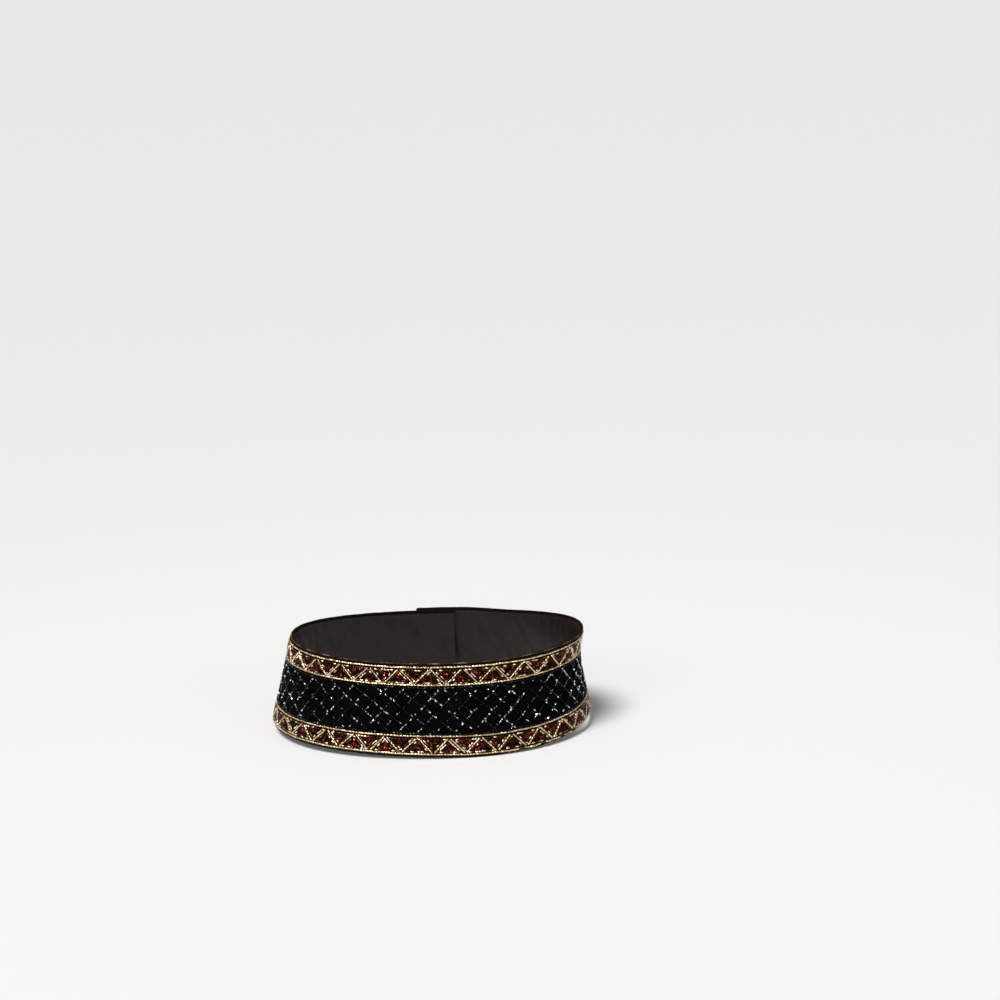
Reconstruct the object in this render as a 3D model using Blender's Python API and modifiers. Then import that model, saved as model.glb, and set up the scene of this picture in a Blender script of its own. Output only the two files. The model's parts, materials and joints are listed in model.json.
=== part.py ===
# Beaded waist belt in its worn form: a stiffened velvet band that overlaps at centre back,
# with a turned roll on each edge, two beaded borders and a net of black beads between them.
# Metres, +Z up. The front faces -Y and the origin is the middle of the waist ring.

import math

import bmesh
import bpy
import numpy as np
from mathutils import Vector

COLLECTION = "beaded_belt"

# The worn ring, on the outer face of the velvet
RING_HEIGHT = 0.0784        # between the edges at centre front, along Z
TOP_RISE = 0.0050           # the edges lie this much higher at the sides
BOTTOM_RISE = 0.0062
OVAL_POWER = 2.14           # 2 would be an ellipse, and more is squarer
HALF_SIZES = {
    "right": {"top": 0.1316, "bottom": 0.1353, "pinch": 0.0085},
    "left": {"top": 0.1282, "bottom": 0.1463, "pinch": 0.0012},
    "front": {"top": 0.0977, "bottom": 0.1204, "pinch": 0.0},
    "back": {"top": 0.0928, "bottom": 0.1144, "pinch": 0.0},
}

# It sits a little askew: in front, one side has ridden up and the other has slipped down
SLIP_TOP = 0.0006           # how far at the top edge
SLIP_BOTTOM = 0.0020
SLIP_WAVE = 0.310           # from one high place to the next, along the belt
SLIP_START = 0.013
SLIP_REACH = 0.300          # it fades out towards the back

# The strip
STRIP_WIDTH = 0.080         # edge to edge down the surface
WALL = 0.0020               # velvet, stiffener and lining together
SEAM = 0.0003
TOP_ROLL = {"height": 0.0028, "thickness": 0.0032}
BOTTOM_ROLL = {"height": 0.0014, "thickness": 0.0028}
STATIONS = 72
WALL_LEVELS = 11            # points down the outer face of the wall
LINING_LEVELS = 7

# The closure at centre back
OVERLAP = 0.036
LAP_GAP = 0.0028            # room between the two ends for a fastened press stud
LAP_RAMP = 0.060            # the upper end rises over this length
BEAD_MARGIN = 0.0015        # plain velvet at the ends of the beadwork
STUD_LEVELS = (0.20, 0.50, 0.80)
STUD_SIDES = 14
STUD_PROFILES = {
    # (radius, height off the under end) in millimetres, down the outer side and back inside
    "socket": {"closed": True, "points": [(1.9, 1.4), (3.4, 1.4), (5.0, 0.7), (5.0, 0.3), (1.9, 0.3)]},
    "ball": {"closed": False, "points": [(0.0, 2.5), (3.2, 2.5), (4.6, 2.1), (4.6, 1.7), (1.3, 1.7),
                                         (1.3, 1.3), (1.6, 1.0), (1.2, 0.6), (0.0, 0.6)]},
}

# Beadwork, as distances down the surface from the top edge
GOLD_ROWS = {"gold_row_1": 0.0039, "gold_row_2": 0.0189, "gold_row_3": 0.0622, "gold_row_4": 0.0774}
ROW_WIDTH = 0.0015
ROW_HEIGHT = 0.0015
BORDERS = {
    "upper": {"top": 0.0050, "bottom": 0.0178, "repeat": 0.0282, "start": 0.0080},
    "lower": {"top": 0.0634, "bottom": 0.0761, "repeat": 0.0265, "start": -0.0042},
}
FILL_HEIGHT = 0.0008
ZIGZAG_WIDTH = 0.0021       # measured straight down, so the slanting run is 1.5 mm wide
ZIGZAG_HEIGHT = 0.0011
NET = {
    "top": 0.0202, "bottom": 0.0611, "strand": 0.0008, "back": 0.0005, "floor": 0.0004, "crest": 0.0013,
    "half_width": 0.00859, "half_height": 0.00756,  # of one diamond
    "knot": (0.0004, -0.0027),  # where one knot lies on the sheet
    "snap": 0.0008,             # a knot this near the edge of the net is moved onto it
}
# The net is one straight sheet, cut to the curve that the belt has when it lies flat
FLAT_RADIUS = 0.7606        # of the belt's middle line
LEVEL_AT = 0.0474           # where the sheet lies level with the belt, as arc from centre front

FINISHES = {
    # sRGB colour as hex, then roughness and metallic
    "velvet": ("0B0A0C", 0.95, 0.0),
    "turned_edge": ("241C1B", 0.80, 0.0),
    "gold_beads": ("B58E4B", 0.30, 0.9),
    "garnet_beads": ("571418", 0.25, 0.2),
    "black_beads": ("0C0C0F", 0.18, 0.0),
    "press_stud": ("2A2A2C", 0.35, 0.8),
}


def half_size(side, level):
    row = HALF_SIZES[side]
    straight = row["top"] + (row["bottom"] - row["top"]) * level
    return straight - 4 * row["pinch"] * level * (1 - level) ** 2


def ring_point(angle, level):
    # angle 0 is centre front and grows towards +X, level runs from 0 at the top edge to 1
    sine, cosine = math.sin(angle), math.cos(angle)
    x = math.copysign(abs(sine) ** (2 / OVAL_POWER), sine)
    y = -math.copysign(abs(cosine) ** (2 / OVAL_POWER), cosine)
    top = RING_HEIGHT / 2 + TOP_RISE * sine ** 2
    bottom = -RING_HEIGHT / 2 + BOTTOM_RISE * sine ** 2
    return Vector((
        x * half_size("right" if x > 0 else "left", level),
        y * half_size("front" if y < 0 else "back", level),
        top + (bottom - top) * level,
    ))


def measure_ring(steps=2880):
    # arc length along the middle of the band, 0 at centre front, against the angle
    angles = np.linspace(-math.pi, math.pi, steps + 1)
    points = np.array([ring_point(angle, 0.5) for angle in angles])
    arcs = np.concatenate(([0.0], np.cumsum(np.linalg.norm(np.diff(points, axis=0), axis=1))))
    return angles, arcs - arcs[steps // 2]


RING_ANGLES, RING_ARCS = measure_ring()
BACK_LEFT, BACK_RIGHT = RING_ARCS[0], RING_ARCS[-1]     # centre back, reached either way round
UNDER_END = BACK_LEFT - OVERLAP / 2
OVER_END = BACK_RIGHT + OVERLAP / 2
BEADS_START = BACK_LEFT + OVERLAP / 2 + BEAD_MARGIN
BEADS_END = OVER_END - BEAD_MARGIN
LAP_LIFT = WALL + LAP_GAP


def angle_at(arc):
    girth = BACK_RIGHT - BACK_LEFT
    turns = math.floor((arc - BACK_LEFT) / girth)
    return float(np.interp(arc - turns * girth, RING_ARCS, RING_ANGLES)) + turns * 2 * math.pi


def outward(arc, level):
    step = 0.001
    along = ring_point(angle_at(arc + step), level) - ring_point(angle_at(arc - step), level)
    down = ring_point(angle_at(arc), level + 0.01) - ring_point(angle_at(arc), level - 0.01)
    return down.cross(along).normalized()


def lap_lift(arc):
    rise = min(max((arc - (BACK_RIGHT - OVERLAP / 2 - LAP_RAMP)) / LAP_RAMP, 0.0), 1.0)
    return LAP_LIFT * rise * rise * (3 - 2 * rise)


def slip(arc, level):
    fade = max(1 - (arc / SLIP_REACH) ** 2, 0.0) ** 2
    wave = math.sin(2 * math.pi * (arc - SLIP_START) / SLIP_WAVE)
    return (SLIP_TOP + (SLIP_BOTTOM - SLIP_TOP) * level) * wave * fade


def strip_point(arc, down, out):
    # a point of the belt: arc along it, distance down from its top edge, distance off its face
    level = down / STRIP_WIDTH
    level += slip(arc, level) / STRIP_WIDTH
    return ring_point(angle_at(arc), level) + outward(arc, level) * (out + lap_lift(arc))


def evenly(start, end, count):
    return [start + (end - start) * i / (count - 1) for i in range(count)]


def make_material(name):
    colour, roughness, metallic = FINISHES[name]
    channels = [int(colour[i:i + 2], 16) / 255 for i in (0, 2, 4)]
    linear = [c / 12.92 if c <= 0.04045 else ((c + 0.055) / 1.055) ** 2.4 for c in channels]
    material = bpy.data.materials.new(name)
    material.use_nodes = True
    shader = material.node_tree.nodes["Principled BSDF"]
    shader.inputs["Base Color"].default_value = (*linear, 1.0)
    shader.inputs["Roughness"].default_value = roughness
    shader.inputs["Metallic"].default_value = metallic
    return material


def add_object(name, mesh, finish):
    mesh.materials.append(bpy.data.materials.get(finish) or make_material(finish))
    piece = bpy.data.objects.new(name, mesh)
    bpy.data.collections[COLLECTION].objects.link(piece)
    return piece


def finish_mesh(name, work, finish):
    bmesh.ops.recalc_face_normals(work, faces=work.faces)
    mesh = bpy.data.meshes.new(name)
    work.to_mesh(mesh)
    work.free()
    mesh.shade_smooth()
    mesh.set_sharp_from_angle(angle=math.radians(35))
    return add_object(name, mesh, finish)


def sweep(name, arcs, outline, finish):
    # outline(arc) gives the corners (down, out) of the closed section, in order round it
    work = bmesh.new()
    rings = [[work.verts.new(strip_point(arc, *corner)) for corner in outline(arc)] for arc in arcs]
    for near, far in zip(rings, rings[1:]):
        for i in range(len(near)):
            j = (i + 1) % len(near)
            work.faces.new((near[i], near[j], far[j], far[i]))
    work.faces.new(rings[0])
    work.faces.new(rings[-1])
    return finish_mesh(name, work, finish)


def make_band():
    top = TOP_ROLL["height"] + SEAM
    bottom = STRIP_WIDTH - BOTTOM_ROLL["height"] - SEAM
    face = [(down, 0.0) for down in evenly(top, bottom, WALL_LEVELS)]
    lining = [(down, -WALL) for down in evenly(bottom, top, LINING_LEVELS)]
    sweep("band", evenly(UNDER_END, OVER_END, STATIONS), lambda arc: face + lining, "velvet")


def make_roll(name, roll, middle):
    corners = [math.radians(60 * i) for i in range(6)]
    section = [
        (middle + roll["height"] / 2 * math.cos(a), -WALL / 2 + roll["thickness"] / 2 * math.sin(a))
        for a in corners
    ]
    sweep(name, evenly(UNDER_END, OVER_END, STATIONS), lambda arc: section, "turned_edge")


def make_gold_row(name, middle):
    half = ROW_WIDTH / 2
    foot, crest = SEAM, SEAM + ROW_HEIGHT
    section = [
        (middle - half, foot), (middle - 0.6 * half, crest),
        (middle + 0.6 * half, crest), (middle + half, foot),
    ]
    sweep(name, evenly(BEADS_START, BEADS_END, STATIONS), lambda arc: section, "gold_beads")


def make_border(name, border):
    levels = evenly(border["top"], border["bottom"], 3)
    face = [(down, SEAM + FILL_HEIGHT) for down in levels]
    back = [(down, SEAM) for down in reversed(levels)]
    arcs = evenly(BEADS_START, BEADS_END, STATIONS)
    sweep(name + "_fill", arcs, lambda arc: face + back, "garnet_beads")

    half = ZIGZAG_WIDTH / 2
    high, low = border["top"] + half, border["bottom"] - half
    foot = 2 * SEAM + FILL_HEIGHT
    crest = foot + ZIGZAG_HEIGHT

    def zigzag(arc):
        # 0 at a lower point of the zigzag and 1 at an upper one
        phase = (arc - border["start"]) / border["repeat"] % 1.0
        height = 1 - abs(1 - 2 * phase)
        middle = low + (high - low) * height
        return [
            (middle - half, foot), (middle - 0.5 * half, crest),
            (middle + 0.5 * half, crest), (middle + half, foot),
        ]

    quarter = border["repeat"] / 4
    first = math.ceil((BEADS_START - border["start"]) / quarter)
    last = math.floor((BEADS_END - border["start"]) / quarter)
    turns = [border["start"] + quarter * i for i in range(first, last + 1)]
    sweep(name + "_zigzag", turns, zigzag, "gold_beads")


def clip(polygon, axis, limit, keep_above):
    # the part of a polygon on one side of a line across axis 0 (arc) or 1 (down)
    sign = 1 if keep_above else -1
    result = []
    for here, after in zip(polygon, polygon[1:] + polygon[:1]):
        a, b = sign * (here[axis] - limit), sign * (after[axis] - limit)
        if a >= 0:
            result.append(here)
        if (a > 0 > b) or (a < 0 < b):
            t = a / (a - b)
            result.append(tuple(p + (q - p) * t for p, q in zip(here, after)))
    return result


def onto_sheet(arc, down):
    # across and down the straight sheet, from where the belt lies level on it
    turn, radius = (arc - LEVEL_AT) / FLAT_RADIUS, FLAT_RADIUS - STRIP_WIDTH / 2 + down
    return radius * math.sin(turn), radius * math.cos(turn) - FLAT_RADIUS + STRIP_WIDTH / 2


def knot_place(column, row, limits):
    # a knot as arc along the belt and distance down from its top edge
    across = NET["knot"][0] + column * NET["half_width"]
    down = NET["knot"][1] + row * NET["half_height"] + FLAT_RADIUS - STRIP_WIDTH / 2
    place = [
        LEVEL_AT + FLAT_RADIUS * math.atan2(across, down),
        math.hypot(across, down) - FLAT_RADIUS + STRIP_WIDTH / 2,
    ]
    for axis, edges in enumerate(limits):
        for edge in edges:
            if abs(place[axis] - edge) < NET["snap"]:
                place[axis] = edge
    return tuple(place)


def net_cells():
    # diamonds between the strands, trimmed at the edges of the net
    limits = ((BEADS_START, BEADS_END), (NET["top"], NET["bottom"]))
    edges = [onto_sheet(arc, down) for arc in evenly(*limits[0], STATIONS) for down in limits[1]]
    counts = []
    for axis, size in enumerate((NET["half_width"], NET["half_height"])):
        steps = [(edge[axis] - NET["knot"][axis]) / size for edge in edges]
        counts.append(range(math.floor(min(steps)) - 1, math.ceil(max(steps)) + 2))
    for column in counts[0]:
        for row in counts[1]:
            if (row + column) % 2 == 0:
                continue
            corners = ((column, row - 1), (column + 1, row), (column, row + 1), (column - 1, row))
            cell = [knot_place(*corner, limits) for corner in corners]
            for axis, (low, high) in enumerate(limits):
                cell = clip(clip(cell, axis, low, True), axis, high, False)
            if len(cell) > 2:
                yield cell


def distance_to_line(point, a, b):
    cross = (b[0] - a[0]) * (a[1] - point[1]) - (b[1] - a[1]) * (a[0] - point[0])
    return abs(cross) / math.dist(a, b)


def make_net():
    # strands stand up as ridges between hollow cells, over a plain back
    work = bmesh.new()
    shared = {}

    def corner(point, out):
        key = (round(point[0] / 1e-6), round(point[1] / 1e-6), out)
        if key not in shared:
            shared[key] = work.verts.new(strip_point(*point, out))
        return shared[key]

    back = NET["back"]
    crest, floor = back + NET["crest"], back + NET["floor"]
    for cell in net_cells():
        middle = tuple(sum(point[axis] for point in cell) / len(cell) for axis in (0, 1))
        reach = min(distance_to_line(middle, a, b) for a, b in zip(cell, cell[1:] + cell[:1]))
        shrink = 1 - min(NET["strand"] / reach, 0.6)
        inner = [tuple(m + (p - m) * shrink for p, m in zip(point, middle)) for point in cell]
        low_middle = work.verts.new(strip_point(*middle, floor))
        back_middle = work.verts.new(strip_point(*middle, back))
        feet = [work.verts.new(strip_point(*point, floor)) for point in inner]
        for i in range(len(cell)):
            j = (i + 1) % len(cell)
            a, b = corner(cell[i], crest), corner(cell[j], crest)
            work.faces.new((a, b, feet[j], feet[i]))
            work.faces.new((feet[i], feet[j], low_middle))
            work.faces.new((corner(cell[j], back), corner(cell[i], back), back_middle))

    # walls between the crest and the back, all round the net
    places = {vert: key for key, vert in shared.items()}
    rim = [e for e in work.edges if e.is_boundary and all(places[v][2] == crest for v in e.verts)]
    for edge in rim:
        a, b = edge.verts
        below_a, below_b = (shared[places[v][:2] + (back,)] for v in (a, b))
        work.faces.new((a, b, below_b, below_a))
    finish_mesh("bead_net", work, "black_beads")


def make_stud(number, level):
    # a fastened press stud: a ring-shaped socket on the under end, a ball half inside the upper
    for kind, profile in STUD_PROFILES.items():
        name = f"stud_{kind}_{number}"
        mesh = bpy.data.meshes.new(name)
        points = [(radius / 1000, 0.0, height / 1000) for radius, height in profile["points"]]
        edges = [(i, i + 1) for i in range(len(points) - 1)]
        if profile["closed"]:
            edges.append((len(points) - 1, 0))
        mesh.from_pydata(points, edges, [])
        stud = add_object(name, mesh, "press_stud")
        turn = stud.modifiers.new("turn", "SCREW")
        turn.steps = turn.render_steps = STUD_SIDES
        turn.use_merge_vertices = True
        turn.merge_threshold = 0.00001
        normal = outward(BACK_LEFT, level)
        stud.location = ring_point(angle_at(BACK_LEFT), level)
        stud.rotation_euler = normal.to_track_quat("Z", "X").to_euler()


def main():
    for old in list(bpy.data.objects):
        bpy.data.objects.remove(old, do_unlink=True)
    collection = bpy.data.collections.new(COLLECTION)
    bpy.context.scene.collection.children.link(collection)

    make_band()
    make_roll("top_roll", TOP_ROLL, TOP_ROLL["height"] / 2)
    make_roll("bottom_roll", BOTTOM_ROLL, STRIP_WIDTH - BOTTOM_ROLL["height"] / 2)
    for name, middle in GOLD_ROWS.items():
        make_gold_row(name, middle)
    for name, border in BORDERS.items():
        make_border(name, border)
    make_net()
    for number, level in enumerate(STUD_LEVELS, 1):
        make_stud(number, level)


main()
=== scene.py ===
import math
import bpy
import numpy as np
from mathutils import Matrix, Vector
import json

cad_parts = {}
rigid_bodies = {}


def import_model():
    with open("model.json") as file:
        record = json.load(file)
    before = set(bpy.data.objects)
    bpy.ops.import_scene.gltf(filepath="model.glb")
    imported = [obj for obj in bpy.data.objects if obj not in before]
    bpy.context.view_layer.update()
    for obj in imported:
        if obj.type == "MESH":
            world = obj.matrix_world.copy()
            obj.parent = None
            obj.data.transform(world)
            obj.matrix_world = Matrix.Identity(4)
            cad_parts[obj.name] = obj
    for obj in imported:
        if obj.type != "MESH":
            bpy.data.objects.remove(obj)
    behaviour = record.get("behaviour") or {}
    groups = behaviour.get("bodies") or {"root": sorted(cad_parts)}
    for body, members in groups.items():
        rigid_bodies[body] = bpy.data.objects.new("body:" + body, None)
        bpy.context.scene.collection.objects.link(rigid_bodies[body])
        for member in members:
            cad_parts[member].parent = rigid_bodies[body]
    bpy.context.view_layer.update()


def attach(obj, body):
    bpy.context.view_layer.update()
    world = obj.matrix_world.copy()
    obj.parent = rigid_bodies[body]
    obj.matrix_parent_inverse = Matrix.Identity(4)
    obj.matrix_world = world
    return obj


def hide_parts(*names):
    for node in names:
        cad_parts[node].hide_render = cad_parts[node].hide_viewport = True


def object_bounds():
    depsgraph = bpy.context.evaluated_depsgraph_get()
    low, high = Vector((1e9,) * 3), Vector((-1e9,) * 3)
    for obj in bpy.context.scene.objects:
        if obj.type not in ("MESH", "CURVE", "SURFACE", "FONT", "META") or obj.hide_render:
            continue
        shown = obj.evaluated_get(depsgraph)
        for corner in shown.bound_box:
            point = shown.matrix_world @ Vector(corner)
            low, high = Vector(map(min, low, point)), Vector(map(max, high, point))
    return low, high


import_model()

mm = 0.001
dice = np.random.default_rng(23)

# The belt is laid out flat first, as on the embroidery frame, and wrap() puts it round the waist.
# x runs along it from centre front, y is 0 at its top edge and falls to -80 mm at the bottom edge,
# and z stands off the face of the wall.
ring = {
    "height": 0.0784, "topRise": 0.0050, "bottomRise": 0.0062, "ovalPower": 2.14,
    # half the oval's size at its top edge and at its bottom edge, and how far it is pulled in between them
    "right": (0.1316, 0.1353, 0.0085),
    "left": (0.1282, 0.1463, 0.0012),
    "front": (0.0977, 0.1204, 0.0),
    "back": (0.0928, 0.1144, 0.0),
    "samples": 1440,  # from centre front to centre back
}
strip = {
    "width": 80 * mm, "wall": 2.0 * mm, "overlap": 36 * mm, "lapLift": 4.8 * mm, "lapRamp": 60 * mm,
    "margin": 1.5 * mm,  # plain velvet at the ends of the beadwork
}
slip = {  # it sits a little askew: in front, one side has ridden up and the other has slipped down
    "top": 0.6 * mm, "bottom": 2.0 * mm, "wave": 310 * mm, "start": 13 * mm, "reach": 300 * mm,
}


def halfSize(side, level):
    top, bottom, pinch = ring[side]
    return top + (bottom - top) * level - 4 * pinch * level * (1 - level) ** 2


def ringPoint(angle, level):
    sine, cosine = np.sin(angle), np.cos(angle)
    power = 2 / ring["ovalPower"]
    x = np.sign(sine) * np.abs(sine) ** power
    y = -np.sign(cosine) * np.abs(cosine) ** power
    top = ring["height"] / 2 + ring["topRise"] * sine ** 2
    bottom = -ring["height"] / 2 + ring["bottomRise"] * sine ** 2
    return np.stack([
        x * np.where(x > 0, halfSize("right", level), halfSize("left", level)),
        y * np.where(y < 0, halfSize("front", level), halfSize("back", level)),
        top + (bottom - top) * level], -1)


ringAngles = np.linspace(-math.pi, math.pi, 2 * ring["samples"] + 1)
ringSteps = np.linalg.norm(np.diff(ringPoint(ringAngles, np.full(len(ringAngles), 0.5)), axis=0), axis=1)
ringArcs = np.concatenate(([0.0], np.cumsum(ringSteps)))
ringArcs -= ringArcs[ring["samples"]]
backLeft, backRight = ringArcs[0], ringArcs[-1]  # centre back, reached either way round
girth = backRight - backLeft
underEnd, overEnd = backLeft - strip["overlap"] / 2, backRight + strip["overlap"] / 2
beadsStart, beadsEnd = backLeft + strip["overlap"] / 2 + strip["margin"], overEnd - strip["margin"]


def angleAt(arc):
    turns = np.floor((arc - backLeft) / girth)
    return np.interp(arc - turns * girth, ringArcs, ringAngles) + turns * 2 * math.pi


def wrapped(flat):
    arc, level = flat[:, 0], -flat[:, 1] / strip["width"]
    fade = np.clip(1 - (arc / slip["reach"]) ** 2, 0, 1) ** 2
    slipped = (slip["top"] + (slip["bottom"] - slip["top"]) * level) * fade
    level = level + slipped * np.sin(2 * math.pi * (arc - slip["start"]) / slip["wave"]) / strip["width"]
    step = 1 * mm
    along = ringPoint(angleAt(arc + step), level) - ringPoint(angleAt(arc - step), level)
    down = ringPoint(angleAt(arc), level + 0.01) - ringPoint(angleAt(arc), level - 0.01)
    out = np.cross(down, along)
    out /= np.linalg.norm(out, axis=1)[:, None]
    rise = np.clip((arc - (backRight - strip["overlap"] / 2 - strip["lapRamp"])) / strip["lapRamp"], 0, 1)
    lift = flat[:, 2] + strip["lapLift"] * rise * rise * (3 - 2 * rise)
    return ringPoint(angleAt(arc), level) + out * lift[:, None]


def stretchAt(down):
    # how much longer a line at this distance down is than the middle of the belt
    points = ringPoint(ringAngles, np.full(len(ringAngles), down / strip["width"]))
    return np.linalg.norm(np.diff(points, axis=0), axis=1).sum() / girth


def meshPoints(piece):
    points = np.zeros(len(piece.data.vertices) * 3)
    piece.data.vertices.foreach_get("co", points)
    return points.reshape(-1, 3)


def setPoints(piece, points):
    piece.data.vertices.foreach_set("co", np.asarray(points, np.float32).ravel())
    piece.data.update()


def wrap(piece):
    setPoints(piece, wrapped(meshPoints(piece)))


def deselect():
    if bpy.context.object and bpy.context.object.mode != "OBJECT":
        bpy.ops.object.mode_set(mode="OBJECT")
    bpy.ops.object.select_all(action="DESELECT")


def pick(piece):
    deselect()
    piece.select_set(True)
    bpy.context.view_layer.objects.active = piece


def editFaces(piece, chosen):
    # into edit mode with only the chosen faces selected
    pick(piece)
    bpy.ops.object.mode_set(mode="EDIT")
    bpy.ops.mesh.select_mode(type="FACE")
    bpy.ops.mesh.select_all(action="DESELECT")
    bpy.ops.object.mode_set(mode="OBJECT")
    for face in piece.data.polygons:
        face.select = chosen(face)
    bpy.ops.object.mode_set(mode="EDIT")


def applyModifiers(piece):
    pick(piece)
    for modifier in list(piece.modifiers):
        bpy.ops.object.modifier_apply(modifier=modifier.name)


def smooth(piece, degrees):
    pick(piece)
    bpy.ops.object.shade_smooth_by_angle(angle=math.radians(degrees))


def storeNumbers(mesh, name, values):
    attribute = mesh.attributes.new(name, "FLOAT", "POINT")
    attribute.data.foreach_set("value", np.asarray(values, np.float32))


def softNoise(x, y, size, seed):
    # the slow wander of cloth and hand work, from a few waves of random heading, about -1 to 1
    waves = np.random.default_rng(seed)
    total = np.zeros(np.broadcast(x, y).shape)
    for octave in range(2):
        for _ in range(6):
            heading, phase = waves.uniform(0, 2 * math.pi, 2)
            length = size / 2 ** octave * waves.uniform(0.7, 1.4)
            across = (x * math.cos(heading) + y * math.sin(heading)) / length
            total = total + np.sin(across * 2 * math.pi + phase) / 2 ** octave
    return total / 4.5


def finishPiece(piece, material, slot, *nodes):
    # its finish, the slot it comes from, which is not used, the body it rides on and the solids it stands for
    if not piece.data.materials:
        piece.data.materials.append(material)
    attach(piece, "root")
    if nodes:
        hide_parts(*nodes)
    print(f"{piece.name}: {len(piece.data.polygons)} faces")


# Materials

def linear(code):
    # sRGB hex to linear colour
    channels = [int(code[i:i + 2], 16) / 255 for i in (1, 3, 5)]
    return tuple(c / 12.92 if c <= 0.04045 else ((c + 0.055) / 1.055) ** 2.4 for c in channels) + (1.0,)


def addNode(tree, kind, inputs, **settings):
    node = tree.nodes.new(kind)
    for name, value in settings.items():
        setattr(node, name, value)
    for name, value in inputs.items():
        if isinstance(value, bpy.types.NodeSocket):
            tree.links.new(value, node.inputs[name])
        else:
            node.inputs[name].default_value = value
    return node


def newMaterial(name, shaderValues):
    material = bpy.data.materials.new(name)
    material.use_nodes = True
    shader = material.node_tree.nodes["Principled BSDF"]
    for socket, value in shaderValues.items():
        shader.inputs[socket].default_value = value
    return material, material.node_tree, shader


def colourFrom(tree, shader, factor, stops):
    ramp = addNode(tree, "ShaderNodeValToRGB", {"Fac": factor})
    points = ramp.color_ramp.elements
    while len(points) < len(stops):
        points.new(0.5)
    for point, (place, code) in zip(points, stops):
        point.position = place
        point.color = linear(code)
    tree.links.new(ramp.outputs["Color"], shader.inputs["Base Color"])


def bumpFrom(tree, shader, height, strength, distance):
    bump = addNode(tree, "ShaderNodeBump", {"Height": height, "Strength": strength, "Distance": distance})
    tree.links.new(bump.outputs["Normal"], shader.inputs["Normal"])


def noiseOf(tree, place, size, detail=2.0, roughness=0.5):
    # lumps of about this size, whatever the vector's own units are
    values = {"Vector": place, "Scale": 1 / size, "Detail": detail, "Roughness": roughness}
    return addNode(tree, "ShaderNodeTexNoise", values).outputs["Fac"]


def cottonVelvet():
    # cotton velvet, woven and cut: almost no light comes back, but a faint sheen where the pile turns away
    material, tree, shader = newMaterial("cottonVelvet", {
        "Roughness": 0.95, "Specular IOR Level": 0.04,
        "Sheen Weight": 0.05, "Sheen Roughness": 0.3, "Sheen Tint": linear("#7C7470")})
    place = addNode(tree, "ShaderNodeTexCoord", {}).outputs["Object"]
    brushed = noiseOf(tree, place, 14 * mm, 3.0)  # pile stroked this way and that
    pile = noiseOf(tree, place, 0.45 * mm, 2.0, 0.6)  # tufts, drawn twice their real width to show
    both = addNode(tree, "ShaderNodeMath", {0: brushed, 1: pile}, operation="MULTIPLY").outputs[0]
    colourFrom(tree, shader, both, [(0.12, "#010101"), (0.30, "#030303"), (0.48, "#120E0D")])
    bumpFrom(tree, shader, pile, 0.6, 0.15 * mm)
    return material


def sheenPaintedVelvet():
    # the same velvet turned over a padded edge, its crushed pile mottled dark brown; the brown-grey band
    # along the crest is painted sheen, where the light catches the roll
    material, tree, shader = newMaterial("sheenPaintedVelvet", {
        "Roughness": 0.9, "Specular IOR Level": 0.10,
        "Sheen Weight": 0.06, "Sheen Roughness": 0.4, "Sheen Tint": linear("#8A684E")})
    place = addNode(tree, "ShaderNodeTexCoord", {}).outputs["Object"]
    crest = addNode(tree, "ShaderNodeAttribute", {}, attribute_name="crest").outputs["Fac"]
    crushed = noiseOf(tree, place, 2.2 * mm, 4.0, 0.65)
    # the crushed pile's mottling times the painted sheen band along the crest; the lighter stops below are
    # that painted sheen
    worn = addNode(tree, "ShaderNodeMath", {0: crushed, 1: crest}, operation="MULTIPLY").outputs[0]
    colourFrom(tree, shader, worn, [(0.15, "#0D0503"), (0.37, "#3F2A1D"), (0.62, "#8A735E")])
    bumpFrom(tree, shader, noiseOf(tree, place, 0.4 * mm), 0.5, 0.12 * mm)
    return material


def sateenLining():
    # cotton sateen, woven in long floats: a soft low gloss with a fine slant rib
    material, tree, shader = newMaterial("sateenLining", {"Roughness": 0.40, "Specular IOR Level": 0.28})
    flat = addNode(tree, "ShaderNodeUVMap", {}, uv_map="flat").outputs["UV"]
    slant = {"Vector": flat, "Rotation": (0, 0, math.radians(24))}
    turned = addNode(tree, "ShaderNodeMapping", slant).outputs["Vector"]
    ribWidth = 1.3 * mm  # three times the real rib, so that it shows
    perRib = 2 * math.pi / (20 * ribWidth)  # the wave texture turns 20 radians in each unit
    waves = {"Vector": turned, "Scale": perRib, "Distortion": 0.6, "Detail": 1.0}
    rib = addNode(tree, "ShaderNodeTexWave", waves).outputs["Fac"]
    faded = noiseOf(tree, flat, 22 * mm, 3.0)
    both = addNode(tree, "ShaderNodeMath", {0: rib, 1: faded}, operation="MULTIPLY").outputs[0]
    colourFrom(tree, shader, both, [(0.05, "#060403"), (0.45, "#261E1A")])
    bumpFrom(tree, shader, rib, 0.6, 0.16 * mm)
    return material


def beadGlass(name, stops, shaderValues):
    # drawn glass: every bead has its own tone, with faint streaks and dimples from drawing and cutting
    material, tree, shader = newMaterial(name, shaderValues)
    tone = addNode(tree, "ShaderNodeAttribute", {}, attribute_name="tone").outputs["Fac"]
    place = addNode(tree, "ShaderNodeTexCoord", {}).outputs["Object"]
    grain = noiseOf(tree, place, 0.7 * mm)
    mixed = addNode(tree, "ShaderNodeMath", {0: grain, 1: 0.35, 2: tone}, operation="MULTIPLY_ADD")
    colourFrom(tree, shader, mixed.outputs[0], stops)
    polish = shaderValues["Roughness"]
    reach = {"Value": grain, "To Min": polish * 0.6, "To Max": polish * 1.5}
    worn = addNode(tree, "ShaderNodeMapRange", reach).outputs["Result"]
    tree.links.new(worn, shader.inputs["Roughness"])
    bumpFrom(tree, shader, grain, 0.15, 0.06 * mm)
    return material


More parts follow.
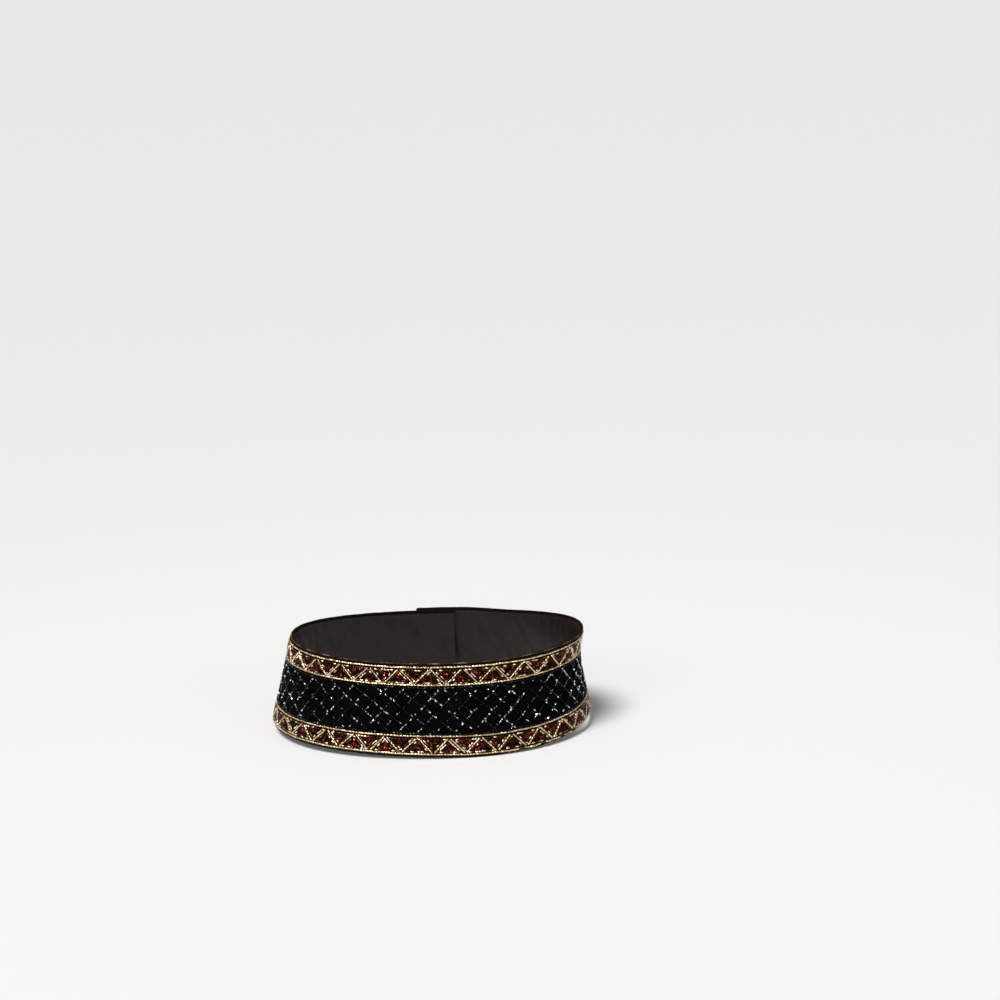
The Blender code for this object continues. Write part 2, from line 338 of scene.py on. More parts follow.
def spunThread(name, dark, light):
    # spun polyester sewing thread: plies twisted every half millimetre, slightly fuzzy
    material, tree, shader = newMaterial(name, {"Roughness": 0.7, "Specular IOR Level": 0.3})
    place = addNode(tree, "ShaderNodeTexCoord", {}).outputs["Object"]
    ply = noiseOf(tree, place, 0.5 * mm, 1.0)
    colourFrom(tree, shader, ply, [(0.3, dark), (0.7, light)])
    bumpFrom(tree, shader, ply, 0.4, 0.05 * mm)
    return material


def lacqueredBrass():
    # stamped brass dipped in black lacquer: satin, with warm metal through it on the rubbed rims
    material, tree, shader = newMaterial("lacqueredBrass", {"Metallic": 0.6, "Roughness": 0.38})
    place = addNode(tree, "ShaderNodeTexCoord", {}).outputs["Object"]
    wear = noiseOf(tree, place, 1.1 * mm, 4.0)
    colourFrom(tree, shader, wear, [(0.5, "#17171A"), (0.72, "#6E5A34")])
    bumpFrom(tree, shader, wear, 0.2, 0.05 * mm)
    return material


materials = {
    "velvet": cottonVelvet(),
    "turnedEdge": sheenPaintedVelvet(),
    "lining": sateenLining(),
    # silver-lined pale gold glass: its lining throws the light back, so it looks like polished gold
    "gold": beadGlass(
        "silverLinedGold", [(0.1, "#6E4420"), (0.5, "#C0965C"), (1.0, "#FCE6BC")],
        {"Metallic": 0.95, "Roughness": 0.25, "Coat Weight": 0.3, "Coat Roughness": 0.05}),
    # bronze lustre fired on dark glass: dimmer than the gold, with copper in the shade
    "bronze": beadGlass(
        "bronzeLustreGlass", [(0.1, "#1C0A05"), (0.5, "#4C2A12"), (0.8, "#C4A068"), (1.0, "#FFF0D2")],
        {"Metallic": 0.95, "Roughness": 0.25, "Coat Weight": 0.1, "Coat Roughness": 0.06}),
    # two-cut garnet glass: a deep red body with small bright flats
    "garnet": beadGlass(
        "garnetCutGlass", [(0.1, "#140503"), (0.55, "#3E130B"), (0.8, "#6E241A"), (1.0, "#A24A3C")],
        {"Metallic": 0.95, "Roughness": 0.24, "IOR": 1.5, "Coat Weight": 0.02, "Coat Roughness": 0.04}),
    # lustred jet glass: worn black, but a bead whose lustre is whole flashes white
    "jet": beadGlass(
        "lustredJetGlass", [(0.1, "#0A0A0C"), (0.60, "#282829"), (0.77, "#707072"), (0.85, "#FFFFFF")],
        {"Metallic": 1.0, "Roughness": 0.14}),
    "blackThread": spunThread("blackPolyesterThread", "#080708", "#1E1B1B"),
    "hemThread": spunThread("charcoalPolyesterThread", "#5A5148", "#A0958A"),
    "goldThread": spunThread("goldenBrownThread", "#5A4420", "#B0904C"),
    "stud": lacqueredBrass(),
}
print("materials made")


# Beads and stitches, each modelled once along x about the origin, 1 mm long and wide, for sew() to size

def drawnGlass(sides, rims, hole):
    # a piece of drawn tube: the rims are (inset, rise) steps from the wall to the hole, which sinks in
    deselect()
    rise = sum(step[1] for step in rims)
    bpy.ops.mesh.primitive_cylinder_add(
        vertices=sides, radius=0.5 * mm, depth=1 * mm - 2 * rise, end_fill_type="NGON",
        rotation=(0, math.pi / 2, 0))
    bead = bpy.context.object
    bpy.ops.object.transform_apply(location=True, rotation=True, scale=True)
    editFaces(bead, lambda face: abs(face.normal.x) > 0.9)
    for inset, height in rims:
        bpy.ops.mesh.inset(thickness=inset, depth=height)
    if hole:
        bpy.ops.mesh.inset(thickness=hole * 0.15, depth=-hole)
    bpy.ops.object.mode_set(mode="OBJECT")
    return bead


shapes = {
    "round": drawnGlass(8, [(0.15 * mm, 0.07 * mm)], 0.12 * mm),
    "cut": drawnGlass(6, [(0.14 * mm, 0.18 * mm)], 0.12 * mm),
    "garnet": drawnGlass(6, [(0.07 * mm, 0.12 * mm), (0.14 * mm, 0.06 * mm)], 0.1 * mm),
    "stitch": drawnGlass(6, [(0.2 * mm, 0.12 * mm)], 0),
}


def sew(name, shape, places, facets=50, rubbed=0.0):
    # every copy in one mesh; a place is x, distance down, height, heading, tilt, length, width and tone,
    # and rubbed is how much the tone falls at the ends
    x, down, height, heading, tilt, length, width, tone = (column[:, None] for column in np.array(places).T)
    body = shapes[shape].data
    unit = meshPoints(shapes[shape]) / mm
    roll = dice.uniform(0, 2 * math.pi, (len(places), 1))
    along = unit[:, 0] * length
    side = (unit[:, 1] * np.cos(roll) - unit[:, 2] * np.sin(roll)) * width
    up = (unit[:, 1] * np.sin(roll) + unit[:, 2] * np.cos(roll)) * width
    along, up = along * np.cos(tilt) - up * np.sin(tilt), along * np.sin(tilt) + up * np.cos(tilt)
    points = np.stack([x + along * np.cos(heading) - side * np.sin(heading),
                       -down + along * np.sin(heading) + side * np.cos(heading), height + up], -1)

    corners = np.zeros(len(body.loops), np.int32)
    body.loops.foreach_get("vertex_index", corners)
    starts = np.zeros(len(body.polygons), np.int32)
    body.polygons.foreach_get("loop_start", starts)
    copies = np.arange(len(places), dtype=np.int32)[:, None]
    mesh = bpy.data.meshes.new(name)
    mesh.vertices.add(points.shape[0] * points.shape[1])
    mesh.loops.add(len(places) * len(corners))
    mesh.polygons.add(len(places) * len(starts))
    mesh.loops.foreach_set("vertex_index", (corners + copies * len(body.vertices)).ravel())
    mesh.polygons.foreach_set("loop_start", (starts + copies * len(corners)).ravel())
    mesh.vertices.foreach_set("co", wrapped(points.reshape(-1, 3)).astype(np.float32).ravel())
    mesh.update(calc_edges=True)
    mesh.validate()
    ends = np.clip((np.abs(unit[:, 0]) - 0.36) / 0.1, 0, 1)
    storeNumbers(mesh, "tone", (tone - rubbed * ends).ravel())
    piece = bpy.data.objects.new(name, mesh)
    bpy.context.collection.objects.link(piece)
    smooth(piece, facets)
    return piece


# Velvet band: the outer cloth puffs up between the strands of the net and is drawn down along sewn lines
band = {
    "alongCells": 500, "downCells": 48, "top": 2.6 * mm, "bottom": 78.8 * mm,
    "pile": 0.28 * mm, "puff": 0.45 * mm, "puffFade": 2 * mm,
    "drawn": 0.16 * mm, "drawnWidth": 0.9 * mm, "uneven": 0.08 * mm,
    "wrinkle": 0.75 * mm, "wrinkleSize": 13 * mm, "hems": (5 * mm, 76 * mm), "hemFade": 9 * mm,
    "roundEnd": 1.2 * mm, "thinEnd": 0.45,
}
net = {
    "top": 21.9 * mm, "bottom": 59.5 * mm, "wide": 8.59 * mm, "tall": 7.56 * mm,
    "knot": (0.4 * mm, -2.7 * mm), "stray": 0.18 * mm,  # one knot's place, and how far each is off its own
    # one straight sheet, cut to the curve of the belt laid flat, and where the sheet lies level on it
    "curve": 760.6 * mm, "levelAt": 47.4 * mm, "wander": 0.5 * mm,
    "width": 1.4 * mm, "height": 1.0 * mm, "clear": 0.35 * mm, "thread": 0.28 * mm,
    "edgeGap": 0.6 * mm, "endGap": 0.8 * mm, "threadEndGap": 4 * mm,
    "beyond": (9 * mm, 12 * mm),  # knots go on this far past the panel, along the belt and across it
    "blackRows": (21.1 * mm, 60.2 * mm), "rowWander": 0.15 * mm,
}
goldRows = {
    "downs": (3.9 * mm, 18.9 * mm, 62.2 * mm, 77.4 * mm),
    "pitch": 5.72 * mm, "width": 1.5 * mm, "height": 1.02 * mm, "wander": 0.16 * mm,
}


def ontoNet(x, down):
    # a place on the belt as columns and rows of knots across the straight sheet
    inner = net["curve"] - strip["width"] / 2
    turn, radius = (x - net["levelAt"]) / net["curve"], inner + down
    across = radius * np.sin(turn) - net["knot"][0] - net["wander"] * softNoise(x, down, 42 * mm, 11)
    below = radius * np.cos(turn) - inner - net["knot"][1] - net["wander"] * softNoise(x, down, 36 * mm, 12)
    return across / net["wide"], below / net["tall"]


def offNet(column, row):
    # the place on the belt of that column and row
    inner = net["curve"] - strip["width"] / 2
    across, below = net["knot"][0] + column * net["wide"], net["knot"][1] + row * net["tall"] + inner
    x, down = net["levelAt"] + net["curve"] * np.arctan2(across, below), np.hypot(across, below) - inner
    missed = ontoNet(x, down)  # the wander, taken off again
    return x + (column - missed[0]) * net["wide"], down + (row - missed[1]) * net["tall"]


deselect()
bpy.ops.mesh.primitive_grid_add(x_subdivisions=band["alongCells"], y_subdivisions=band["downCells"], size=1)
velvetBand = bpy.context.object
velvetBand.name = "velvetBand"
points = meshPoints(velvetBand)
arc = underEnd + (points[:, 0] + 0.5) * (overEnd - underEnd)
down = band["top"] + (0.5 - points[:, 1]) * (band["bottom"] - band["top"])
columns, rows = ontoNet(arc, down)
offStrands = [np.abs((lines + 1) % 2 - 1) for lines in (columns + rows, columns - rows)]
puff = (np.sin(offStrands[0] * math.pi / 2) * np.sin(offStrands[1] * math.pi / 2)) ** 0.7
fade = band["puffFade"]
inNet = np.clip((down - net["top"]) / fade, 0, 1) * np.clip((net["bottom"] - down) / fade, 0, 1)
inNet = inNet * (arc > beadsStart)
height = band["pile"] + band["puff"] * puff * inNet + band["uneven"] * softNoise(arc, down, 12 * mm, 5)
for row in goldRows["downs"] + net["blackRows"]:
    height -= band["drawn"] * np.exp(-((down - row) / band["drawnWidth"]) ** 2) * (arc > beadsStart)
setPoints(velvetBand, np.stack([arc, -down, height], -1))

wall = velvetBand.modifiers.new("wall", "SOLIDIFY")
wall.thickness = strip["wall"] + band["pile"]
wall.offset = -1
wall.material_offset = 1
velvetBand.data.materials.append(materials["velvet"])
velvetBand.data.materials.append(materials["lining"])
applyModifiers(velvetBand)
points = meshPoints(velvetBand)
inside = points[:, 2] < -1 * mm
# the lining is cut a little long, so it stands off in soft upright pulls between its two hems
folds = softNoise(points[:, 0] - points[:, 1] * 0.2, points[:, 1] * 0.3, band["wrinkleSize"], 9)
for fromHem in (-points[:, 1] - band["hems"][0], band["hems"][1] + points[:, 1]):
    folds *= np.clip(fromHem / band["hemFade"], 0, 1)
points[inside, 2] = -strip["wall"] + band["wrinkle"] * (folds[inside] - 0.4)
fromEnd = np.minimum(points[:, 0] - underEnd, overEnd - points[:, 0])
pinch = 1 - np.sqrt(np.clip(1 - (1 - fromEnd / band["roundEnd"]).clip(0) ** 2, 0, 1))
middle = -strip["wall"] / 2
points[:, 2] = middle + (points[:, 2] - middle) * (1 - band["thinEnd"] * pinch)
setPoints(velvetBand, points)

flatMap = velvetBand.data.uv_layers.new(name="flat")
corners = np.zeros(len(velvetBand.data.loops), np.int32)
velvetBand.data.loops.foreach_get("vertex_index", corners)
flatMap.data.foreach_set("uv", points[corners, :2].astype(np.float32).ravel())
wrap(velvetBand)
smooth(velvetBand, 60)
finishPiece(velvetBand, materials["velvet"], "velvet", "band")


# Turned edges: padded rolls with the lumps and slant pulls of hand sewing
# in each roll the last number sets how strong the painted sheen along its crest is; it is weaker on the lower
# roll
rolls = {
    "topRoll": {
        "node": "top_roll", "middle": 1.4 * mm, "high": 2.8 * mm, "thick": 3.2 * mm,
        "seed": 31, "sheenStrength": 1.0,
    },
    "bottomRoll": {
        "node": "bottom_roll", "middle": 79.3 * mm, "high": 1.4 * mm, "thick": 2.8 * mm,
        "seed": 37, "sheenStrength": 0.6,
    },
}
turning = {  # how the cloth of both rolls lies
    "sides": 16, "step": 1.6 * mm,
    "slant": 0.05, "slantSize": 7 * mm, "slantRun": 1.6 * mm, "lumps": 0.06, "lumpSize": 24 * mm,
    # crestAt, in degrees from the very edge, and crestSpread place the band of painted sheen on each roll
    "roundEnd": 1.4 * mm, "endSize": 0.55, "crestAt": 55, "crestSpread": 0.6,
}
for name, roll in rolls.items():
    deselect()
    bpy.ops.mesh.primitive_cylinder_add(
        vertices=turning["sides"], radius=1, depth=1, end_fill_type="NOTHING", rotation=(0, math.pi / 2, 0))
    piece = bpy.context.object
    piece.name = name
    bpy.ops.object.transform_apply(location=True, rotation=True, scale=True)
    row = piece.modifiers.new("row", "ARRAY")
    row.count = int((overEnd - underEnd) / turning["step"])
    row.use_merge_vertices = True
    applyModifiers(piece)
    bpy.ops.object.mode_set(mode="EDIT")
    bpy.ops.mesh.select_all(action="SELECT")
    bpy.ops.mesh.fill_holes(sides=turning["sides"])
    bpy.ops.object.mode_set(mode="OBJECT")
    points = meshPoints(piece)
    share = (points[:, 0] - points[:, 0].min()) / np.ptp(points[:, 0])
    turn = np.arctan2(points[:, 2], points[:, 1])  # 0 at the very edge, a quarter turn at the outer face
    arc = underEnd + share * (overEnd - underEnd)
    pulled = arc + turning["slantRun"] * turn
    slant = softNoise(pulled, 0, turning["slantSize"], roll["seed"]) * turning["slant"]
    lumps = softNoise(arc, 0, turning["lumpSize"], roll["seed"] + 1) * turning["lumps"]
    fromEnd = np.minimum(arc - underEnd, overEnd - arc) / turning["roundEnd"]
    rounded = np.sqrt(np.clip(1 - (1 - fromEnd).clip(0) ** 2, 0, 1))
    radius = (1 + slant + lumps) * (turning["endSize"] + (1 - turning["endSize"]) * rounded)
    flat = np.stack([
        arc, -roll["middle"] + np.cos(turn) * roll["high"] / 2 * radius,
        -strip["wall"] / 2 + np.sin(turn) * roll["thick"] / 2 * radius], -1)
    setPoints(piece, wrapped(flat))
    # painted sheen: a lighter band along the upper outer side of each roll, where the light falls, made a
    # little uneven
    crest = np.exp(-((turn - math.radians(turning["crestAt"])) / turning["crestSpread"]) ** 2)
    storeNumbers(piece.data, "crest", roll["sheenStrength"] * crest * (0.85 + 0.3 * softNoise(arc, 0, 18 * mm, 3)))
    smooth(piece, 60)
    finishPiece(piece, materials["turnedEdge"], "turned_edge", roll["node"])


# Gold rows: cut bugles sewn down two at a time, so every second gap is wider
def between(low, high):
    return lambda: dice.uniform(low, high)


def pairLine(places, start, end, pairs, width, height, tones, loose=1.0, keep=None):
    # pairs of beads from start to end, given as x and distance down; tones() gives each bead its own
    (x0, down0), (x1, down1) = start, end
    heading = math.atan2(down0 - down1, x1 - x0)
    reach = math.hypot(x1 - x0, down1 - down0)
    length = reach / pairs / 2
    for i in range(pairs):
        lean = math.radians(dice.normal(0, 1.4)) * loose
        lift, aside = dice.normal(0, 0.03) * mm, dice.normal(0, 0.06) * mm * loose
        for side in (-1, 1):
            t = ((i + 0.5) * 2 + side * 0.485) * length / reach
            x, down = x0 + (x1 - x0) * t, down0 + (down1 - down0) * t
            if keep and not keep(x, down):
                continue
            places.append((
                x - aside * math.sin(heading), down - aside * math.cos(heading) - side * length / 2 * lean,
                height + lift + dice.normal(0, 0.02) * mm,
                heading + lean + math.radians(dice.normal(0, 1.2)) * loose,
                math.radians(dice.normal(0, 2.2)) * loose, length * dice.uniform(0.89, 0.95),
                width * dice.uniform(0.93, 1.04), tones()))


fray = {  # the worn stretch of the lowest row, and the ends of thread that hang from it
    "row": 4, "from": 52 * mm, "to": 128 * mm, "drop": 0.5 * mm, "missing": 0.22,
    "ends": 18, "thick": 0.11 * mm, "hangFrom": 78.2 * mm, "hang": 1.6 * mm, "offFace": 0.5 * mm,
}
for number, rowDown in enumerate(goldRows["downs"], 1):
    count = round((beadsEnd - beadsStart) * stretchAt(rowDown) / goldRows["pitch"])
    pitch = (beadsEnd - beadsStart) / count
    places = []
    for i in range(count):
        x = beadsStart + i * pitch
        worn = number == fray["row"] and fray["from"] < x < fray["to"]
        if worn and dice.random() < fray["missing"]:
            continue
        sags = [rowDown + goldRows["wander"] * float(softNoise(end, rowDown, 40 * mm, 50 + number))
                for end in (x, x + pitch)]
        drop = fray["drop"] if worn else 0
        pairLine(places, (x, sags[0] + drop), (x + pitch, sags[1] + drop), 1,
                 goldRows["width"], goldRows["height"], between(0.35, 0.95), 3.0 if worn else 1.0)
    row = sew(f"goldRow{number}", "round", places)
    finishPiece(row, materials["gold"], "gold_beads", f"gold_row_{number}")
print("gold rows sewn")


# Zigzag borders: gold legs, with each triangle lined with bronze beads and filled with rows of garnets
borders = {
    "upper": {"row": 3.9 * mm, "repeat": 28.2 * mm, "start": 8.0 * mm},
    "lower": {"row": 62.2 * mm, "repeat": 26.5 * mm, "start": -4.2 * mm},
}
zigzag = {
    "above": 2.6 * mm, "below": 13.3 * mm,  # bases of the triangles, under the border's upper gold row
    "past": 0.5 * mm,  # the legs run on past them
    "footGap": 1.7 * mm, "headGap": 2.4 * mm, "pairs": 3, "width": 1.45 * mm, "height": 1.25 * mm,
    "endGap": 1.2 * mm,
    # the bead at each turn: its distance past the base, its length and its width
    "footBead": (0.2 * mm, 1.2 * mm, 1.1 * mm), "headBead": (0.6 * mm, 1.9 * mm, 1.3 * mm),
}
outline = {
    "pairs": 2, "pair": 5.3 * mm, "width": 1.35 * mm, "height": 0.98 * mm, "bright": 0.28,
    "offLeg": 2.0 * mm, "offMiddle": 0.55 * mm, "shortOfCorner": 1.2 * mm,
    "pointFrom": 1.5 * mm, "pointLength": 1.8 * mm, "pointWidth": 1.2 * mm,
}
fill = {
    "pitch": 2.15 * mm, "rowPitch": 1.62 * mm, "length": 2.0 * mm, "width": 1.55 * mm, "height": 0.98 * mm,
    "offPoint": 2.7 * mm, "offSides": 1.25 * mm, "least": -0.9 * mm,
}


def dullOrBright():
    # most of the lining beads have lost their lustre, and a few still flash
    return dice.uniform(0.7, 0.95) if dice.random() < outline["bright"] else dice.uniform(0.0, 0.45)


def inBorder(x, down):
    return beadsStart + zigzag["endGap"] < x < beadsEnd - zigzag["endGap"]


def lineTriangle(lining, garnets, x, half, base, point, gaps):
    # the beads inside one triangle, from its base row towards its point
    pointGap, baseGap = gaps
    away = 1 if point > base else -1
    fall = abs(point - base)
    run = half - (pointGap + baseGap) / 2
    slope = math.hypot(run, fall)
    for side in (-1, 1):
        # a line of beads inside each leg, starting where the two lines meet
        startX = side * (pointGap / 2 - outline["offLeg"] * fall / slope)
        startDown = fall - outline["offLeg"] * run / slope  # distance from the base
        skip = max(0.0, outline["offMiddle"] - startX * side) / run
        begin = (x + startX + side * run * skip, base + away * (startDown - fall * skip))
        reach = outline["pairs"] * outline["pair"] / slope
        end = (begin[0] + side * run * reach, begin[1] - away * fall * reach)
        for i in range(outline["pairs"]):
            shares = [(i + k) / outline["pairs"] for k in (0, 1)]
            ends = [tuple(b + (e - b) * share for b, e in zip(begin, end)) for share in shares]
            pairLine(lining, *ends, 1, outline["width"], outline["height"], dullOrBright, 1.0, inBorder)
    if inBorder(x, point):
        lining.append((
            x, point - away * outline["pointFrom"], outline["height"], math.radians(dice.normal(0, 9)), 0.0,
            outline["pointLength"], outline["pointWidth"], dullOrBright()))
    width = half - baseGap / 2 - outline["shortOfCorner"]
    pairs = max(2, round(2 * width / outline["pair"]))
    for i in range(pairs):
        ends = [(x - width + 2 * width * (i + k) / pairs, base) for k in (0, 1)]
        pairLine(lining, *ends, 1, outline["width"], outline["height"], dullOrBright, 1.0, inBorder)
    for row in range(1, 6):
        rowDown = base + away * row * fill["rowPitch"]
        spread = (fall - row * fill["rowPitch"] - fill["offPoint"]) * run / fall - fill["offSides"]
        if spread < fill["least"]:
            break
        count = max(1, round(2 * spread / fill["pitch"]))
        for i in range(count):
            place = x + (i + 0.5 - count / 2) * fill["pitch"] + dice.normal(0, 0.12) * mm
            if not inBorder(place, rowDown):
                continue
            garnets.append((
                place, rowDown + dice.normal(0, 0.1) * mm, fill["height"] + dice.normal(0, 0.05) * mm,
                math.radians(dice.normal(0, 7)), math.radians(dice.normal(0, 6)),
                fill["length"] * dice.uniform(0.9, 1.0), fill["width"] * dice.uniform(0.92, 1.05),
                dice.uniform(0, 0.85)))


for name, border in borders.items():
    legs, lining, garnets = [], [], []
    high, low = border["row"] + zigzag["above"], border["row"] + zigzag["below"]
    half = border["repeat"] / 2
    first = math.ceil((beadsStart - border["start"]) / half)
    last = math.floor((beadsEnd - border["start"]) / half)
    for turn in range(first - 1, last + 2):
        x = border["start"] + turn * half
        down = turn % 2 == 0  # even turns point down, with their base along the top
        past, length, width = zigzag["footBead"] if down else zigzag["headBead"]
        tip = low + past if down else high - past
        if inBorder(x, tip):
            lining.append((
                x + dice.normal(0, 0.15) * mm, tip, outline["height"], math.radians(dice.uniform(50, 130)),
                0.0, length, width, dullOrBright()))
        gaps = (zigzag["footGap"], zigzag["headGap"])
        if down:
            for side in (-1, 1):
                sway = dice.normal(0, 0.25) * mm
                pairLine(legs, (x + side * gaps[0] / 2 + sway, low + zigzag["past"]),
                         (x + side * (half - gaps[1] / 2), high - zigzag["past"]),
                         zigzag["pairs"], zigzag["width"], zigzag["height"], between(0.4, 1.0), 1.0, inBorder)
            lineTriangle(lining, garnets, x, half, high, low, gaps)
        else:
            lineTriangle(lining, garnets, x, half, low, high, gaps[::-1])
    finishPiece(sew(name + "Zigzag", "round", legs), materials["gold"], "gold_beads", name + "_zigzag")
    finishPiece(sew(name + "Outline", "round", lining), materials["bronze"], "gold_beads")
    ground = sew(name + "Fill", "garnet", garnets, 30)
    finishPiece(ground, materials["garnet"], "garnet_beads", name + "_fill")
print("borders sewn")


# Net: two pairs of cut jet bugles along each side of a diamond, on a doubled thread
knots = {}
for row in range(-20, 11):
    for column in range(-56, 50):
        x, rowDown = (float(value) for value in offNet(column, row))
        near = (beadsStart - net["beyond"][0] < x < beadsEnd + net["beyond"][0]
                and net["top"] - net["beyond"][1] < rowDown < net["bottom"] + net["beyond"][1])
        if near and (row + column) % 2 == 0:
            knots[row, column] = (x + dice.normal(0, net["stray"]), rowDown + dice.normal(0, net["stray"]))


def inNetPanel(x, down):
    inRows = net["top"] + net["edgeGap"] < down < net["bottom"] - net["edgeGap"]
    return inRows and beadsStart + net["endGap"] < x < beadsEnd - net["endGap"]


bugles, threads = [], []
for (row, column), knot in knots.items():
    for side in (-1, 1):
        end = knots.get((row + 1, column + side))
        if end is None:
            continue
        across, fall = end[0] - knot[0], end[1] - knot[1]
        edge = math.hypot(across, fall)
        trim = net["clear"] / edge
        start, stop = ((knot[0] + across * trim, knot[1] + fall * trim),
                       (end[0] - across * trim, end[1] - fall * trim))
        pairLine(bugles, start, stop, 2, net["width"], net["height"], between(0, 0.8), 2.2, inNetPanel)
        shares = sorted([(net["top"] - knot[1]) / fall, (net["bottom"] - knot[1]) / fall])
        low, high = max(0.0, shares[0]), min(1.0, shares[1])  # the share of this side that is within the net
        x, rowDown = knot[0] + across * (low + high) / 2, knot[1] + fall * (low + high) / 2
        if high - low < 0.1 or not beadsStart + net["threadEndGap"] < x < beadsEnd - net["threadEndGap"]:
            continue
        threads.append((x, rowDown, net["height"] - 0.1 * mm, math.atan2(-fall, across), 0.0,
                        (high - low) * edge, net["thread"], 0.5))
finishPiece(sew("blackNet", "cut", bugles, 30, 0.4), materials["jet"], "black_beads", "bead_net")
finishPiece(sew("netThread", "stitch", threads), materials["blackThread"], "black_beads")

edging = []
for rowDown in net["blackRows"]:
    count = round((beadsEnd - beadsStart) * stretchAt(rowDown) / goldRows["pitch"])
    pitch = (beadsEnd - beadsStart) / count
    for i in range(count):
        x = beadsStart + i * pitch
        wander = [rowDown + net["rowWander"] * float(softNoise(end, rowDown, 40 * mm, 61))
                  for end in (x, x + pitch)]
        pairLine(edging, (x, wander[0]), (x + pitch, wander[1]), 1,
                 net["width"], net["height"], between(0, 0.5), 1.4)
finishPiece(sew("blackRows", "cut", edging, 30), materials["jet"], "black_beads")
print("net sewn")


# Stitching: the seams under the rolls, the lining's hem, and the row threads that show between the bugles
stitches = {
    "thick": 0.42 * mm, "endGap": 3 * mm,
    # each seam is its distance down and its height off the face
    "seams": ((2.95 * mm, 0.42 * mm), (78.5 * mm, 0.40 * mm)), "seamPitch": 3.4 * mm, "seamLength": 2.3 * mm,
    # each hem is its distance down and the way that its stitches slant
    "hems": ((4.4 * mm, -1), (76.9 * mm, 1)), "hemPitch": 5.2 * mm, "hemLength": 1.5 * mm, "hemSlant": 38,
    "rowPitch": 6 * mm, "rowLength": 6.2 * mm, "rowThick": 0.3 * mm,
}
seams = []
for seamDown, seamHeight in stitches["seams"]:
    for x in np.arange(underEnd + stitches["endGap"], overEnd - stitches["endGap"], stitches["seamPitch"]):
        seams.append((
            x + dice.normal(0, 0.12) * mm, seamDown + dice.normal(0, 0.05) * mm, seamHeight,
            math.radians(dice.normal(4, 3)), 0.0, stitches["seamLength"], stitches["thick"], 0.5))
finishPiece(sew("edgeStitches", "stitch", seams), materials["blackThread"], "turned_edge")
hems = []
for hemDown, slant in stitches["hems"]:
    for x in np.arange(underEnd + stitches["endGap"], overEnd - stitches["endGap"], stitches["hemPitch"]):
        hems.append((
            x + dice.normal(0, 0.2) * mm, hemDown + dice.normal(0, 0.1) * mm, -strip["wall"] - 0.12 * mm,
            math.radians(slant * dice.normal(stitches["hemSlant"], 6)), 0.0, stitches["hemLength"],
            stitches["thick"], 0.5))
finishPiece(sew("liningStitches", "stitch", hems), materials["hemThread"], "velvet")
couching = []
for rowDown in goldRows["downs"]:
    for x in np.arange(beadsStart + 2 * mm, beadsEnd - 4 * mm, stitches["rowPitch"]):
        couching.append((x + stitches["rowPitch"] / 2, rowDown, goldRows["height"], 0.0, 0.0,
                         stitches["rowLength"], stitches["rowThick"], 0.5))
finishPiece(sew("rowThread", "stitch", couching), materials["goldThread"], "gold_beads")

# Frayed ends where the lowest gold row has come away
deselect()
wisps = bpy.data.curves.new("looseThreads", "CURVE")
wisps.dimensions = "3D"
wisps.bevel_depth = fray["thick"]
wisps.bevel_resolution = 1
for _ in range(fray["ends"]):
    x, heading = dice.uniform(fray["from"], fray["to"]), dice.choice((-1, 1))
    length, curl = dice.uniform(2.5, 7) * mm, dice.uniform(0.3, 1.6) * mm
    spline = wisps.splines.new("POLY")
    spline.points.add(6)
    for i, point in enumerate(spline.points):
        t = i / 6
        fallen = fray["hangFrom"] + fray["hang"] * math.sin(t * 2.6) + 0.3 * mm * t
        lift = fray["offFace"] + curl * math.sin(t * math.pi * 0.8)
        point.co = (x + heading * length * t, -fallen, lift, 1.0)
looseThreads = bpy.data.objects.new("looseThreads", wisps)
bpy.context.collection.objects.link(looseThreads)
pick(looseThreads)
bpy.ops.object.convert(target="MESH")
looseThreads = bpy.context.object
wrap(looseThreads)
smooth(looseThreads, 80)
finishPiece(looseThreads, materials["goldThread"], "gold_beads")
print("stitched")

for shape in shapes.values():
    bpy.data.objects.remove(shape)
for half in ("socket", "ball"):
    for number in (1, 2, 3):
        for slot in bpy.data.objects[f"stud_{half}_{number}"].material_slots:
            slot.material = materials["stud"]


# Floor, light and camera
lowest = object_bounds()[0][2]
deselect()
bpy.ops.mesh.primitive_plane_add(size=80, location=(0, 0, lowest))
floor = bpy.context.object
floor.name = "floor"
paleFloor, tree, shader = newMaterial("paleFloor", {"Roughness": 0.9, "Base Color": linear("#E9E9E9")})
floor.data.materials.append(paleFloor)

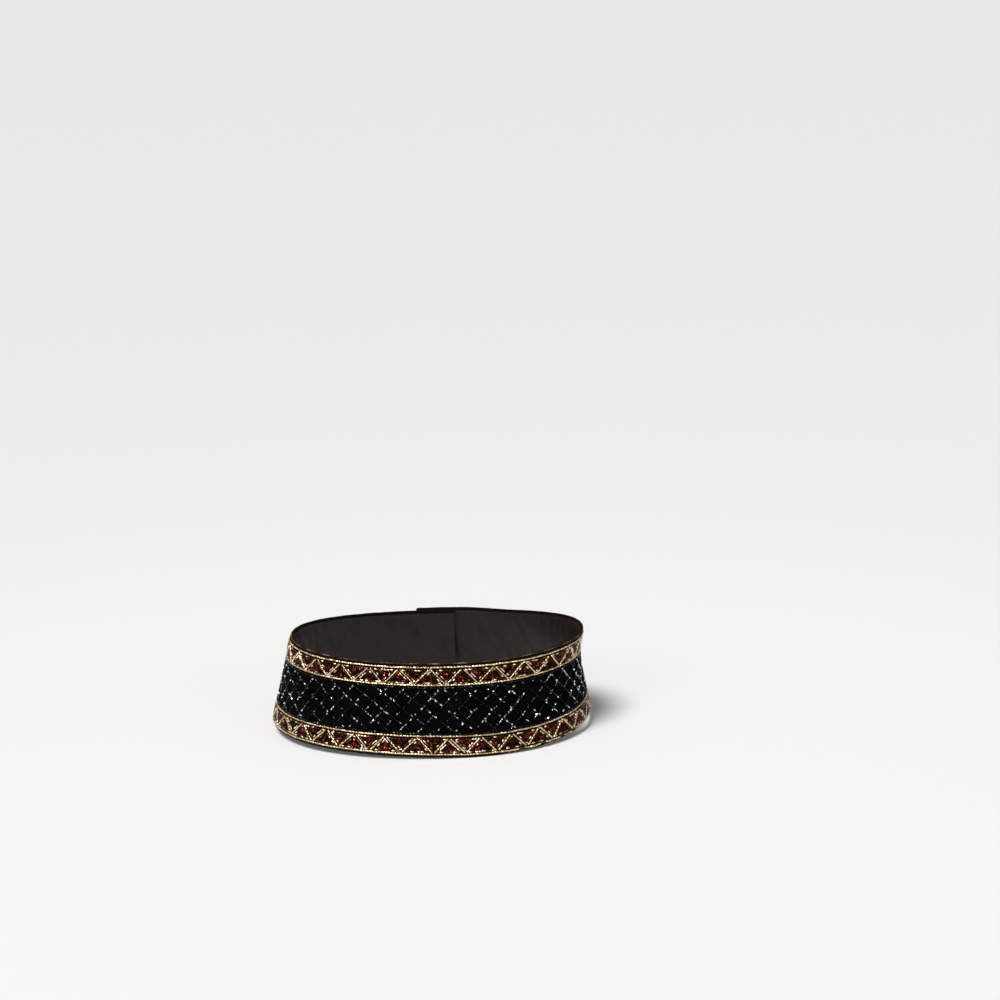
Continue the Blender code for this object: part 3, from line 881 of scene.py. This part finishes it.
lamps = {
    # kind, place, strength, size, spread in degrees and colour of each light, all turned to the belt
    "skyLight": ("SUN", (-1.2, -1.5, 3.2), 3.0, math.radians(24), 0, "#FFFFFF"),
    "keyLight": ("AREA", (-1.3, -1.9, 1.2), 1.29, 0.5, 90, "#FFFBF4"),
    "fillLight": ("AREA", (1.7, -1.6, 0.9), 0.64, 0.5, 90, "#FFFFFF"),
}
for i, azimuth in enumerate((-68, -42, -20, 0, 18, 40, 66, 120, 160, 200, 240)):
    # low in front and high behind
    angle = math.radians(azimuth)
    radius, rise, strength = (2.4, 0.72 + 0.12 * (i % 2), 0.093) if azimuth < 90 else (1.4, 2.2, 0.056)
    place = (radius * math.sin(angle), -radius * math.cos(angle), rise)
    lamps[f"glintLight{i + 1}"] = ("AREA", place, strength, 0.10, 60, "#FFFFFF")
for name, (kind, place, strength, size, spread, code) in lamps.items():
    deselect()
    bpy.ops.object.light_add(type=kind, location=place)
    lamp = bpy.context.object
    lamp.name = name
    lamp.data.energy, lamp.data.color = strength, linear(code)[:3]
    if kind == "SUN":
        lamp.data.angle = size
    else:
        lamp.data.size = size
        lamp.data.spread = math.radians(spread)  # narrow, so that no pool of light lies on the floor below
    lamp.rotation_euler = (-Vector(place)).to_track_quat("-Z", "Y").to_euler()

world = bpy.data.worlds.new("paleRoom")
world.use_nodes = True
world.node_tree.nodes["Background"].inputs["Color"].default_value = linear("#F3F2F2")
world.node_tree.nodes["Background"].inputs["Strength"].default_value = 0.25
bpy.context.scene.world = world
bpy.context.scene.view_settings.view_transform = "Standard"

shot = {
    "distance": 2.78586, "elevation": 15.2773, "lens": 111.945,
    "yaw": 1.28044, "pitch": 12.0451, "roll": -1.25832,
}
yaw, pitch, roll, elevation = (math.radians(shot[name]) for name in ("yaw", "pitch", "roll", "elevation"))
forward = Vector((math.sin(yaw) * math.cos(pitch), math.cos(yaw) * math.cos(pitch), -math.sin(pitch)))
level = Vector((math.cos(yaw), -math.sin(yaw), 0))
upright = level.cross(forward)
right = level * math.cos(roll) + upright * math.sin(roll)
top = upright * math.cos(roll) - level * math.sin(roll)
deselect()
bpy.ops.object.camera_add()
camera = bpy.context.object
camera.data.lens, camera.data.sensor_width = shot["lens"], 36
camera.data.clip_start, camera.data.clip_end = 0.05, 200
camera.matrix_world = Matrix((right, top, -forward)).transposed().to_4x4()
camera.location = (0, -shot["distance"] * math.cos(elevation), shot["distance"] * math.sin(elevation))
bpy.context.scene.camera = camera
print("staged")
